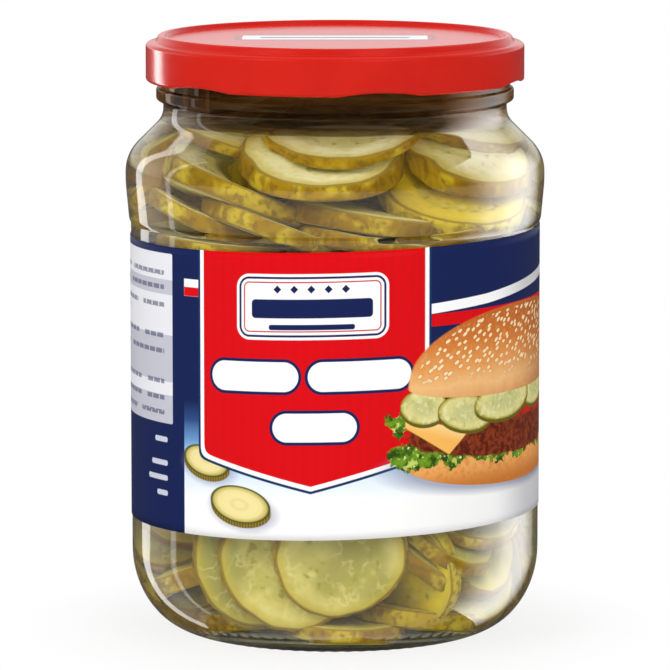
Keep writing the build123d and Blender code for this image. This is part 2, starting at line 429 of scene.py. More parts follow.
# Slices listed one by one, nearest the glass: middle, radius, thickness, tone, and the way the face points
# A tone near 1 paints a slice with a glow of light shining through it
FRONT_SLICES = [
    (2, -21, 111.1, 16.6, 2.7, 0.1, -0.02, -0.15, 1),
    (-2.6, -24.8, 107.1, 16.9, 3.6, 0.1, 0.01, -0.15, 1),
    (6.5, -24.5, 97.4, 15.6, 4.4, 0.4, 0.2, 0.03, 1),
    (8, -25, 91.6, 15.8, 4.2, 0.3, 0.12, 0.02, 1),
    (-19.5, -19, 101.2, 16.6, 4, 0.7, 0.33, 0.09, 1),
    (-22, -15, 96.4, 16, 4, 0.3, 0.3, 0.04, 1),
    (-12, -24, 94.2, 16.5, 4.4, 0.5, 0.36, 0.06, 1),
    (-21, -18, 89, 16, 4, 0.6, 0.12, 0.02, 1),
    (24, -17, 100.6, 15.5, 3.8, 1, 0.2, -0.36, 1),
    (25, -10, 105.6, 15, 3.2, 0.5, 0.12, -0.1, 1),
    (23.5, -1, 110.4, 15.5, 3.2, 0.6, 0.34, -0.1, 1),
    (24, -18, 94.2, 15.5, 3.8, 0.8, -0.12, -0.1, 1),
    (-17, -6, 110.2, 15.5, 3.2, 0.8, 0.24, -0.2, 1),
    (1, -36.8, 23.4, 14, 3.8, 0.1, 0.03, -1, -0.2),
    (-9.6, -32.8, 21.6, 14.8, 3.6, 0.2, -0.1, -1, -0.16),
    (-15.6, -29, 21.8, 14.8, 3.6, 0.2, -0.16, -1, -0.15),
    (-25.5, -13, 26.5, 14.2, 4, 1, 0.3, 0.1, 1),
    (-24, -14, 17, 14.2, 4, 0.6, -0.3, 0.2, 1),
    (15.5, -27, 19.5, 13.2, 3.6, 1, -0.5, -0.8, -0.35),
    (16.5, -23.5, 24, 14.8, 4, 0.6, 0.66, -0.12, 0.74),
    (20.5, -22.5, 28.5, 15, 3.8, 0.4, 0.6, -0.26, 0.76),
    (25, -19, 32, 15, 3.8, 0.2, 0.52, -0.4, 0.76),
    (27, -18, 23, 13, 3.6, 0.1, 0.85, -0.42, 0.4),
    (27, -17, 12.5, 12.5, 3.6, 0.5, 0.62, -0.4, 0.7),
    (15.5, -16, 9, 14.5, 3.8, 0.9, 0.1, -0.06, 1),
    (-14, -14, 9.4, 14, 3.8, 0.3, -0.14, -0.04, 1),
    (1.5, -24, 7.8, 12.5, 3.2, 0.5, 0.02, -0.12, 1),
]


def slice_frames(normals, spin):
    """Three unit vectors for each slice: two across its face, turned by its spin, and its normal."""
    up = unit(normals)
    side = unit(np.cross(up, np.where(np.abs(up[:, :1]) < 0.9, [[1.0, 0, 0]], [[0, 1.0, 0]])))
    across = np.cross(up, side)
    cos, sin = np.cos(spin)[:, None], np.sin(spin)[:, None]
    return np.stack([side * cos + across * sin, across * cos - side * sin, up], axis=1)


def settle(middles, frames, radii, thick, held, steps=140):
    """Moves slices until they stop cutting each other and the glass.

    Each slice carries a disc of balls as thick as it is. Balls of different slices that overlap are
    pushed apart by half of what they overlap, balls outside the cavity are pushed back in, and then
    each slice takes the stiff position that fits its balls best. A held slice gives way fully to the
    glass and only a little to the others.
    """
    rings = [(0.0, 1), (0.5, 6), (1.0, 12)]
    disc = np.concatenate([around(reach, 0, azimuths(count))[:, :2] for reach, count in rings])
    reach = (radii - thick / 2)[:, None, None] * disc[None]
    owner = np.repeat(np.arange(len(radii)), len(disc))
    ball = np.repeat(thick / 2, len(disc)).astype(np.float32)
    outline = cavity_outline()
    lower, wall = outline[: FLOOR_STEPS + HEEL_STEPS], outline[FLOOR_STEPS:]
    touching = np.add.outer(ball, ball) ** 2 * (owner[:, None] > owner[None, :])
    for _ in range(steps):
        places = middles[:, None] + reach[..., :1] * frames[:, None, 0]
        places = places + reach[..., 1:] * frames[:, None, 1]
        balls = places.reshape(-1, 3).astype(np.float32)
        squares = np.sum(balls**2, axis=1)
        apart = squares[:, None] + squares[None, :] - 2 * balls @ balls.T
        first, second = np.nonzero(apart < touching)
        gap = balls[first] - balls[second]
        length = np.linalg.norm(gap, axis=1) + 1e-4
        push = (0.5 * (ball[first] + ball[second] - length) / length)[:, None] * gap
        moved = np.zeros_like(balls)
        for axis in range(3):
            ahead, back = (np.bincount(side, push[:, axis], len(balls)) for side in (first, second))
            moved[:, axis] = ahead - back
        moved[held[owner]] *= GIVE
        balls = balls + 0.6 * moved
        out = np.hypot(balls[:, 0], balls[:, 1]) + 1e-4
        limit = np.interp(balls[:, 2], wall[:, 1], wall[:, 0]) - ball - CLEARANCE
        balls[:, :2] *= np.minimum(1, limit / out)[:, None]
        floor = np.interp(out, lower[:, 0], lower[:, 1]) + ball
        balls[:, 2] = np.clip(balls[:, 2], floor, BRINE_LEVEL - ball - CLEARANCE)
        balls = balls.reshape(places.shape)
        middles = balls.mean(axis=1)
        spread = balls - middles[:, None]
        side, across = (np.einsum("nbk,nb->nk", spread, reach[..., axis]) for axis in (0, 1))
        side = unit(side)
        across = unit(across - np.sum(across * side, axis=1)[:, None] * side)
        frames = np.stack([side, across, np.cross(side, across)], axis=1)
    return middles, frames


def scatter_slices(random):
    """Places, turns, radii, thicknesses and tones (near 1, painted glow) of all slices: front ones as set,
    the rest settled.

    The loose ones wind up the jar, each a fixed turn on from the last. Where slices show they keep
    away from the front. Low ones stand more upright.
    """
    farthest, upright_below = 28, 34  # distance from the axis, and height
    loose = SLICE_COUNT - len(FRONT_SLICES)
    front = np.array(FRONT_SLICES)
    share = np.linspace(0, 1, loose)
    height = np.interp(share, [0, 0.34, 0.60, 1], [8, BELOW_LABEL, 84, BRINE_LEVEL - 5])
    height = height + random.normal(0, 2, loose)
    azimuth = np.arange(loose) * 2.4 + random.normal(0, 0.3, loose)
    out = farthest * np.sqrt(random.uniform(0.05, 1, loose))
    spread = around(out, height, azimuth)
    shows = (height > ABOVE_LABEL) | (height < BELOW_LABEL)
    spread[:, 1] = np.where(shows & (spread[:, 1] < 0), np.abs(spread[:, 1]) * 0.8, spread[:, 1])
    low = height < upright_below
    lean = around(np.where(low, 0.95, 0.45), 0, azimuth + random.normal(0, 1.2, loose))
    lean[:, 2] = random.uniform(0.5, 1.0, loose) * np.where(low, 0.5, 1.0)
    normals = np.concatenate([front[:, 6:], lean])
    radii = np.concatenate([front[:, 3], random.uniform(13.5, 17.2, loose)])
    thick = np.concatenate([front[:, 4], random.uniform(3.4, 4.6, loose)])
    tone = np.concatenate([front[:, 5], random.uniform(0, 1, loose)])
    frames = slice_frames(normals, random.uniform(0, TAU, SLICE_COUNT))
    held = np.arange(SLICE_COUNT) < len(FRONT_SLICES)
    middles, frames = settle(np.concatenate([front[:, :3], spread]), frames, radii, thick, held)
    return middles, frames, radii, thick, tone


def make_slices(material):
    """All slices as one mesh: each is a closed surface of rings, from one face's middle over the rim.

    The outline is a circle with two and three slow waves and small warts. The face dips by a fraction
    of a millimetre over the seeds, the cut edge is rounded, and the whole slice is cupped like a
    shallow dish by the square of the distance from its middle.
    """
    random = np.random.default_rng(12)
    middles, frames, *sizes = scatter_slices(random)
    radii, thick, tone = (values[:, None, None] for values in sizes)
    azimuth = azimuths(44)
    reach = [0, 0.22, 0.42, 0.6, 0.78, 0.9, 0.965, 0.995, 1, 1, 0.995, 0.965, 0.9, 0.7, 0.35, 0]
    level = [1, 1, 1, 1, 1, 1, 0.93, 0.7, 0.35, -0.35, -0.7, -0.93, -1, -1, -1, -1]
    reach, level = np.array([reach, level])[..., None]
    each = (SLICE_COUNT, 1, 1)
    waves = [random.uniform(0, TAU, each) for _ in range(4)]
    depth = random.uniform(0.2, 1.0, each)
    outline = 1 + 0.035 * depth * np.cos(2 * azimuth + waves[0]) + 0.022 * np.cos(3 * azimuth + waves[1])
    outline += 0.006 * np.cos(9 * azimuth + waves[2]) + 0.006 * np.cos(13 * azimuth + waves[3])
    warts = 0.018 * random.uniform(-1, 1, (SLICE_COUNT, len(reach), len(azimuth))) * (reach > 0.99)
    across = radii * (reach * outline + warts)
    local_x, local_y = across * np.cos(azimuth), across * np.sin(azimuth)
    dip = 0.22 * window(reach, 0.42, 0.12, 0.2) * (0.6 + 0.4 * np.cos(3 * azimuth + waves[1]))
    cup = random.normal(0, 0.9, each) * reach**2
    fold = random.normal(0, 0.7, each) * (local_x / radii) ** 2
    held = (np.arange(SLICE_COUNT) < len(FRONT_SLICES))[:, None, None]
    cup, fold = np.where(held, 0.4 * cup, cup), np.where(held, 0.4 * fold, fold)
    local = np.stack([local_x, local_y, level * (thick / 2 - dip) + cup + fold], axis=-1)
    points = np.einsum("nrck,nkd->nrcd", local, frames) + middles[:, None, None, :]
    flesh = np.stack([reach * np.cos(azimuth), reach * np.sin(azimuth), level + 0 * azimuth], axis=-1)
    return make_rings("pickle_slices", points, material, {
        "flesh": flesh[None], "tone": tone, "skin": (reach > 0.97) * 1.0}, flip=True)


# ---- shader maths


def ink(red, green, blue):
    """A colour as printed, 0 to 255, turned to the linear values a shader takes."""
    values = np.array([red, green, blue]) / 255
    linear = np.where(values > 0.04045, ((values + 0.055) / 1.055) ** 2.4, values / 12.92)
    return (*linear.tolist(), 1)


class Wire:
    """One number in a material. Arithmetic on it adds Math nodes to its recipe."""

    def __init__(self, recipe, socket):
        self.recipe, self.socket = recipe, socket

    def math(self, operation, *others, clamp=False):
        return self.recipe.math(operation, self, *others, clamp=clamp)

    __add__ = __radd__ = partialmethod(math, "ADD")
    __mul__ = __rmul__ = partialmethod(math, "MULTIPLY")
    __sub__ = partialmethod(math, "SUBTRACT")
    __truediv__ = partialmethod(math, "DIVIDE")
    __pow__ = partialmethod(math, "POWER")
    __abs__ = partialmethod(math, "ABSOLUTE")

    def __rsub__(self, other):
        return self.recipe.math("SUBTRACT", other, self)

    def step(self, low, high):
        """0 below the low value, 1 above the high one, smooth between."""
        ends = {"Value": self, "From Min": low, "From Max": high}
        return self.recipe.wire("MapRange", ends, {"interpolation_type": "SMOOTHSTEP"})


class Recipe:
    """The nodes of a material, a lamp or the world."""

    def __init__(self, owner):
        owner.use_nodes = True
        self.owner, self.tree = owner, owner.node_tree
        self.tree.nodes.clear()

    def node(self, kind, values=None, settings=None):
        """Adds a node: its settings, a ramp's stops among them, then the values or links of its sockets."""
        made = self.tree.nodes.new("ShaderNode" + kind)
        for key, value in (settings or {}).items():
            if key == "stops":
                elements = made.color_ramp.elements
                elements[0].position, elements[1].position = value[0][0], value[-1][0]
                for position, _ in value[1:-1]:
                    elements.new(position)
                for element, (_, colour) in zip(elements, value):
                    element.color = colour
            else:
                setattr(made, key, value)
        for key, value in (values or {}).items():
            if isinstance(value, Wire):
                self.tree.links.new(value.socket, made.inputs[key])
            else:
                made.inputs[key].default_value = value
        return made

    def wire(self, kind, values=None, settings=None, output=0):
        return Wire(self, self.node(kind, values, settings).outputs[output])

    def math(self, operation, *values, clamp=False):
        return self.wire("Math", dict(enumerate(values)), {"operation": operation, "use_clamp": clamp})

    def paint(self, colour, *coats):
        """A colour covered by others in turn, each a mask and the colour that shows where it is 1."""
        for mask, coat in coats:
            colour = self.wire("Mix", {0: mask, 6: colour, 7: coat}, {"data_type": "RGBA"}, 2)
        return colour

    def ramp(self, value, *stops):
        return self.wire("ValToRGB", {0: value}, {"stops": stops})

    def grain(self, coordinates, scale, detail=2):
        return self.wire("TexNoise", {"Vector": coordinates, "Scale": scale, "Detail": detail})

    def attribute(self, name, output=2):
        """A mesh attribute: output 2 is its number, 1 its vector."""
        return self.wire("Attribute", None, {"attribute_name": name}, output)

    def split(self, vector):
        """A vector's three parts."""
        parts = self.node("SeparateXYZ", {0: vector})
        return [Wire(self, part) for part in parts.outputs]

    def place(self):
        """Object coordinates as three wires, in millimetres, and as one vector in metres."""
        vector = self.wire("TexCoord", output=3)
        return [part * (1 / MM) for part in self.split(vector)], vector

    def rays(self, kind):
        """1 for light rays of the kind named."""
        return self.wire("LightPath", output="Is " + kind + " Ray")

    def bump(self, height, distance, strength=1):
        return self.wire("Bump", {"Height": height, "Distance": distance, "Strength": strength})

    def finish(self, **values):
        """Closes the recipe with a Principled surface."""
        named = {key.replace("_", " "): value for key, value in values.items()}
        surface = self.wire("BsdfPrincipled", named)
        self.node("OutputMaterial", {"Surface": surface})
        return self.owner


def new_finish(name):
    return Recipe(bpy.data.materials.new(name))


def larger(first, second):
    return first.math("MAXIMUM", second)


def smaller(first, second):
    return first.math("MINIMUM", second)


def from_zero(across, along):
    """The length of a vector with these two parts."""
    return (across * across + along * along).math("SQRT")


def cover(distance, soft=0.14):
    """1 inside a shape, 0 outside, with a thin soft edge."""
    return distance.recipe.math("SUBTRACT", 0.5, distance / soft, clamp=True)


class Sheet:
    """Colours laid over one another, by shapes given in the surface's own two directions, s and t."""

    def __init__(self, recipe, s, t, ground):
        self.recipe, self.s, self.t, self.colour = recipe, s, t, ground

    def lay(self, mask, colour):
        self.colour = self.recipe.paint(self.colour, (mask, colour))

    def fill(self, distance, colour, soft=0.14):
        """Covers the inside of a shape."""
        self.lay(cover(distance, soft), colour)

    def box(self, s, t, half_s, half_t, corner=0):
        """Signed distance to a rounded box: outside it the length of what lies past its sides."""
        over_s, over_t = abs(self.s - s) - (half_s - corner), abs(self.t - t) - (half_t - corner)
        within = smaller(larger(over_s, over_t), 0)
        return from_zero(larger(over_s, 0), larger(over_t, 0)) + within - corner

    def oval(self, s, t, half_s, half_t, lean=0):
        """About the distance to an oval: its scaled radius less one, times the smaller half axis."""
        cos, sin = math.cos(lean), math.sin(lean)
        along = ((self.s - s) * cos + (self.t - t) * sin) / half_s
        across = ((self.t - t) * cos - (self.s - s) * sin) / half_t
        return (from_zero(along, across) - 1) * min(half_s, half_t)


# ---- finishes


def edge_darkened(recipe, tint, edge_tint):
    """A tint with painted shade where a clear wall is seen edge on: dark surroundings and a longer way
    through the wall.
    """
    facing = recipe.wire("LayerWeight", {"Blend": 0.5}, output=1)
    return recipe.paint(tint, (facing.step(0.58, 0.92), edge_tint))


def clear_surface(recipe, base, bend, gloss_tint=(1, 1, 1, 1)):
    return recipe.wire("BsdfPrincipled", {
        "Base Color": base, "Roughness": 0, "IOR": bend, "Transmission Weight": 1,
        "Specular Tint": gloss_tint})


def let_light_pass(recipe, surface, through, **outputs):
    """Closes a clear finish: it bends what is seen through it, and only tints light that passes."""
    open_way = recipe.wire("BsdfTransparent", {"Color": through})
    passing = larger(recipe.rays("Diffuse"), recipe.rays("Shadow"))
    mixed = recipe.wire("MixShader", {0: passing, 1: surface, 2: open_way})
    recipe.node("OutputMaterial", {"Surface": mixed, **outputs})
    return recipe.owner


def glass_finish():
    """Clear glass with painted shade: brown up the neck, in the lid's shade, and under the base, in its
    shadow.
    """
    recipe = new_finish("jar_glass")
    (x, y, z), _ = recipe.place()
    neck_tint = (0.30, 0.19, 0.085, 1)
    flat_share = 0.7  # how much of the neck's shade lies flat over the clear glass
    # Painted shade up the neck, as a brown tint and a flat brown layer over the clear glass
    shade = z.step(NECK_BASE - 3, BEAD_TOP - 1)
    # Painted shadow under the base, where the jar stands on the floor
    under = z.step(PUSH_UP + 0.6, PUSH_UP)
    under = under * from_zero(x, y).step(BEARING_RADIUS, BEARING_RADIUS - 2)
    base = edge_darkened(recipe, (0.975, 0.985, 0.96, 1), (0.46, 0.42, 0.30, 1))
    base = recipe.paint(base, (shade, neck_tint), (under, (0.30, 0.24, 0.12, 1)))
    shaded = recipe.wire("BsdfTransparent", {"Color": neck_tint})
    clear = clear_surface(recipe, base, 1.5)
    surface = recipe.wire("MixShader", {0: shade * flat_share, 1: clear, 2: shaded})
    return let_light_pass(recipe, surface, (0.96, 0.96, 0.93, 1))


def brine_finish():
    """Brine: nearly clear, with painted shade making its level top deep brown under the lid, and it takes up
    blue along the way through it.
    """
    recipe = new_finish("brine")
    base = edge_darkened(recipe, (0.99, 0.98, 0.94, 1), (0.62, 0.48, 0.22, 1))
    # Painted shade: the level top is brown where the lid shades it
    base = recipe.paint(base, (recipe.attribute("on_top"), (0.26, 0.17, 0.05, 1)))
    per_metre = 32  # how fast the colour deepens
    depth = recipe.wire("VolumeAbsorption", {"Color": (0.88, 0.76, 0.16, 1), "Density": per_metre})
    surface = clear_surface(recipe, base, 1.335, (0.7, 0.45, 0.2, 1))
    return let_light_pass(recipe, surface, (0.99, 0.975, 0.93, 1), Volume=depth)


def lid_enamel():
    """Red gloss enamel over tinplate, gold lacquer inside, and a pale lozenge with one bar on top."""
    recipe = new_finish("lid_enamel")
    (x, y, z), where = recipe.place()
    navy = ink(24, 36, 86)
    blotch = recipe.grain(where, 90).step(0.4, 0.7)
    sheet = Sheet(recipe, x, y, recipe.paint(ink(208, 28, 12), (blotch, ink(202, 24, 11))))
    on_top = z.step(RIM_HEIGHT + 0.1, RIM_HEIGHT + 0.2)
    field = recipe.paint(ink(245, 245, 245), (abs(x).step(20.9, 21), ink(196, 24, 24)))
    for sizes, colour in (((22.6, 6.8, 2.4), navy), ((22.1, 5.4, 1.9), field), ((17, 1.3, 1.2), navy)):
        sheet.lay(cover(sheet.box(0, 2, *sizes)) * on_top, colour)
    sheet.lay(recipe.attribute("lacquer"), ink(126, 88, 34))
    ripple = recipe.bump(recipe.grain(where, 420, 1), 0.00002)
    return recipe.finish(Base_Color=sheet.colour, Roughness=0.2, Normal=ripple)


def pictured_slice(sheet, s, t, half_s, half_t, lean):
    """A printed pickle slice: soft shadow, ridged dark side and a pale face with faint rings."""
    recipe, oval, fill = sheet.recipe, sheet.oval, sheet.fill
    shadow = oval(s + 0.7, t - 1.4, half_s + 0.6, half_t + 0.3, lean)
    sheet.lay(cover(shadow, 1.8) * 0.55, ink(96, 104, 150))
    ridges = (sheet.s * 9).math("SINE") * 0.5 + 0.5
    ridged = recipe.paint(ink(104, 86, 30), (ridges, ink(150, 128, 48)))
    fill(oval(s + 0.1, t - 1, half_s, half_t, lean), ridged)
    rim = oval(s, t, half_s, half_t, lean)
    fill(rim, ink(84, 82, 36))
    fill(rim + 0.35, ink(206, 190, 104), 0.3)
    fill(rim + 0.9, ink(242, 227, 160), 0.7)
    rings = (rim * 3.6).math("SINE", clamp=True) * rim.step(-0.9, -2)
    sheet.lay(rings * 0.4, ink(222, 204, 120))


def label_paper():
    """The print, in millimetres: s runs round from the front, and t is the height, level with its edges."""
    recipe = new_finish("label_print")
    (x, y, z), where = recipe.place()
    s = x.math("ARCTAN2", 0 - y) * LABEL_RADIUS
    t = z - x * math.tan(LABEL_TILT)
    navy, white, red = ink(23, 36, 86), ink(252, 252, 252), ink(220, 4, 16)
    silver, pale = ink(172, 172, 178), ink(206, 210, 224)

    # Ground: navy above, then blue to pale blue to white below
    ground = recipe.ramp((t - 36) / 24, (0, white), (0.22, ink(226, 239, 250)), (0.40, ink(170, 206, 236)),
                         (0.56, ink(104, 150, 204)), (0.74, ink(46, 76, 130)), (0.92, navy))
    sheet = Sheet(recipe, s, t, ground)
    lay, fill, box = sheet.lay, sheet.fill, sheet.box

    # Sweeping stripes right of the shield; painted shade greys the ground and the white stripe towards the
    # right, where light falls off
    right = cover(0 - s)
    silvery = s.step(38, 56) * 0.6
    lay(silvery * t.step(54, 42), silver)
    sweep = t - 78.05 - (s - 21.5) * 0.054 - larger(s - 38, 0) * 0.04
    lay(cover(abs(sweep) - 1.1) * right, recipe.paint(white, (silvery, silver)))
    lay(cover(abs(t - 75.5) - 1.35) * right, red)

    # Navy part left of the front, and a small two-coloured flag
    fill(s + 37.4, navy)
    fill(box(-35, 83.2, 2.3, 1.9), white)
    fill(box(-35, 82.3, 2.3, 1), red)

    # Table on the navy part: grey bands, and rows of short dashes in place of print
    table = Sheet(recipe, s, t, ink(236, 236, 241))
    for height, half in ((82.65, 1.65), (66.65, 5.25), (55.2, 3.2)):
        table.fill(abs(t - height) - half, ink(198, 199, 210))
    rows = 0
    for height, left in ((85.8, -62), (82.6, -64), (78.6, -54.6), (71.7, -54),
                         (68.2, -64), (61.4, -52.4), (57.7, -52.4), (54.4, -55.6)):
        between = cover(abs(s - left + 2) - 1.8) + cover(-44.6 - s)
        rows = cover(abs(t - height) - 0.52) * (1 - between) + rows
    along_row = s + (t * 0.55).math("FLOOR") * 1.3
    dashes = (along_row / 3.1).math("FRACT").step(0.86, 0.84)
    table.lay(rows * dashes * 0.7, ink(62, 66, 108))
    fill(box(-69.4, 71.1, 28, 19.1, 0.4), table.colour)

    # Two columns of bars on the navy back, each row a little shorter or longer, and four bars by the front
    pitch = 4.1
    row = (t / pitch).math("FLOOR")
    ragged = (row * 2.4).math("SINE") * 1.6
    line = cover(abs(t / pitch - row - 0.5) * pitch - 0.6) * cover(abs(t - 67.6) - 18.4)
    for column in (-134, -113):
        lay(line * cover(abs(s - column) + ragged - 7.4), pale)
    for height, reach in ((48.3, 2.6), (43, 3.4), (39.6, 4.2), (36.2, 2.2)):
        fill(box(-43.4 - reach, height, reach, 0.6, 0.5), pale)

    # Two pickle slices lying on the pale ground
    pictured_slice(sheet, -31, 44.8, 6.6, 3.4, -0.18)
    pictured_slice(sheet, -22, 35.6, 7.6, 4.1, -0.16)

    # Shield: straight sides, a blunt point below, white and navy lines round it
    slope = math.radians(14.5)
    from_middle = abs(s + 5.4)
    below = (39.9 + from_middle * math.tan(slope) - t) * math.cos(slope)
    shield = (from_middle - 25.9).math("SMOOTH_MAX", below, 3)
    fill(shield - 1.6, ink(20, 52, 100))
    fill(shield - 1, white)
    sheen = (s * 2.6).math("SINE") * 0.5 + 0.5
    fill(shield, recipe.paint(red, (sheen * 0.3, ink(206, 8, 18))))

    # Plaque on the shield, with two bars and five diamonds, and three blank pills under it
    left = 5.2
    plaque = box(-left, 79.8, 17.2, 7.3, 3)
    for inward, colour in ((0, white), (0.6, navy), (1.1, white), (1.7, ink(200, 30, 40)), (2, white)):
        fill(plaque + inward, colour)
    fill(box(-left, 79.4, 13.6, 2.1, 0.9), navy)
    fill(box(-left, 75.3, 9.6, 0.6, 0.5), navy)
    beside = (s + left).math("PINGPONG", 1.9)
    fill(larger(beside + abs(t - 83.7) - 0.9, abs(s + left) - 8.6), navy)
    for *sizes, half_t in ((-18.5, 64.3, 10.4, 3.3), (5.6, 64.3, 11.6, 3.3), (-4.6, 53, 9.4, 3.2)):
        pill = box(*sizes, half_t, half_t)
        fill(pill - 0.7, navy)
        fill(pill, white)

    paint_burger(sheet, where)
    fibres = recipe.bump(recipe.grain(where, 2200), 0.00001)
    return recipe.finish(Base_Color=sheet.colour, Roughness=0.42, Specular_IOR_Level=0.1, Normal=fibres)


def paint_burger(sheet, where):
    """A printed burger: two bun halves, leaves, a patty, cheese, tomato and five pickle slices."""
    recipe, s, t = sheet.recipe, sheet.s, sheet.t
    lay, fill, box, oval, paint = sheet.lay, sheet.fill, sheet.box, sheet.oval, recipe.paint
    rough, crumbs, ruffle, frill = (recipe.grain(where, scale, detail) - 0.5 for scale, detail in (
        (420, 3), (900, 3), (210, 4), (520, 6)))
    middle = 51

    # Lower bun on its shadow
    lay(cover(oval(middle - 2, 42.4, 37, 7), 1.8) * 0.6, ink(84, 92, 140))
    dough = paint(
        ink(240, 172, 96),
        (t.step(43, 37), ink(200, 118, 46)), (crumbs.step(-0.05, 0.15) * 0.6, ink(216, 128, 50)))
    fill(oval(middle, 44, 35.6, 7.4), dough)

    # Leaves hanging over it, and two tufts at the left
    leaf = box(middle, 45.6, 36, 2.6, 2.5) + ruffle * 9 + frill * 6
    tuft = oval(15, 46.2, 3.6, 2.8) + ruffle * 7 + frill * 6
    tip = oval(14.6, 53, 2.2, 2.4, 0.6) + ruffle * 7 + frill * 7
    green = paint(
        ink(44, 78, 14),
        (rough.step(-0.12, 0.1), ink(112, 156, 34)), (frill.step(0.04, 0.12), ink(196, 214, 104)),
        (crumbs.step(0.1, 0.2), ink(226, 236, 160)))
    fill(smaller(smaller(leaf, tuft), tip), green, 0.3)

    # Patty, tomato and a folded corner of cheese
    meat = paint(
        ink(138, 58, 26),
        (crumbs.step(-0.1, 0.12), ink(92, 30, 12)), (rough.step(0.1, 0.25) * 0.6, ink(176, 90, 50)))
    fill(larger(oval(middle, 49.6, 34.8, 6.4), t - 51.6) + ruffle * 1.6, meat, 0.3)
    tomato = paint(ink(196, 34, 16), (rough.step(0, 0.2), ink(160, 24, 12)))
    fill(box(middle - 1.5, 52.4, 30.5, 1.5, 1.3) + ruffle * 0.8, tomato)
    fold = larger(52.4 - t - (s - 15.2) * 0.626, 49.3 - t + (s - 31.4) * 0.87)
    fold = larger(t - 54.4 + (s - 16.5) * 0.29, fold).math("SMOOTH_MAX", 15.8 - s, 0.8)
    cheese = paint(ink(250, 188, 92), ((t + s * 0.3).step(56, 59.5), ink(253, 214, 140)))
    fill(fold, cheese, 0.3)

    # Pickle slices under the bun, in its shade
    fill(oval(middle, 57, 33.6, 3.6), ink(70, 46, 20), 0.6)
    for at_s, at_t, *sizes in ((75.5, 56, 6.8, 3.2, 0.1), (61, 55.6, 9, 3.4, 0), (20.4, 56.4, 5.8, 4, -0.1),
                               (31.6, 54, 8, 4, -0.18), (44.8, 55.6, 11, 4.4, 0.06)):
        disc = oval(at_s, at_t, *sizes)
        fill(smaller(disc, oval(at_s, at_t - 0.7, *sizes)), ink(104, 96, 30))
        flesh = paint(
            ink(222, 214, 142),
            (disc.step(-1.2, -2.6), ink(202, 200, 134)), (disc.step(-0.7, -0.2), ink(186, 172, 62)),
            (crumbs.step(0, 0.15) * 0.6, ink(234, 230, 176)),
            (rough.step(0.05, 0.2) * 0.5, ink(176, 172, 92)))
        fill(disc + 0.12, flesh, 0.3)

    # Upper bun: a tall half oval above its widest line, a shallow one below, and seeds on its top
    widest = 60.8
    rise = larger(t - widest, 0) / 15.9 + larger(widest - t, 0) / 3.8
    along = abs(s - middle - 1) / 35.4
    bun = (along ** 2.4 + rise ** 2.1 - 1) * 7
    crust = recipe.ramp((t - 57 + rough * 3) / 21, (0, ink(226, 160, 100)), (0.16, ink(244, 192, 128)),
                        (0.36, ink(233, 158, 86)), (0.62, ink(212, 122, 50)), (0.85, ink(196, 104, 42)))
    crust = paint(
        crust,
        (s.step(44, 66) * 0.55, ink(166, 92, 40)), (crumbs.step(0, 0.2) * 0.3, ink(240, 176, 110)))
    fill(bun, crust, 0.25)
    turned = recipe.wire("CombineXYZ", {0: s * 0.8 + t * 0.5 + rough * 1.2, 1: (t * 0.8 - s * 0.5) * 1.7})
    seed = recipe.wire("TexVoronoi", {"Vector": turned, "Scale": 0.44, "Randomness": 0.9},
                       {"voronoi_dimensions": "2D"})
    on_bun = cover(bun + 0.8) * (t + rough * 8).step(60, 64)
    lay(seed.step(0.36, 0.28) * on_bun * 0.5, ink(168, 88, 34))
    lay(seed.step(0.29, 0.21) * on_bun, ink(252, 226, 178))


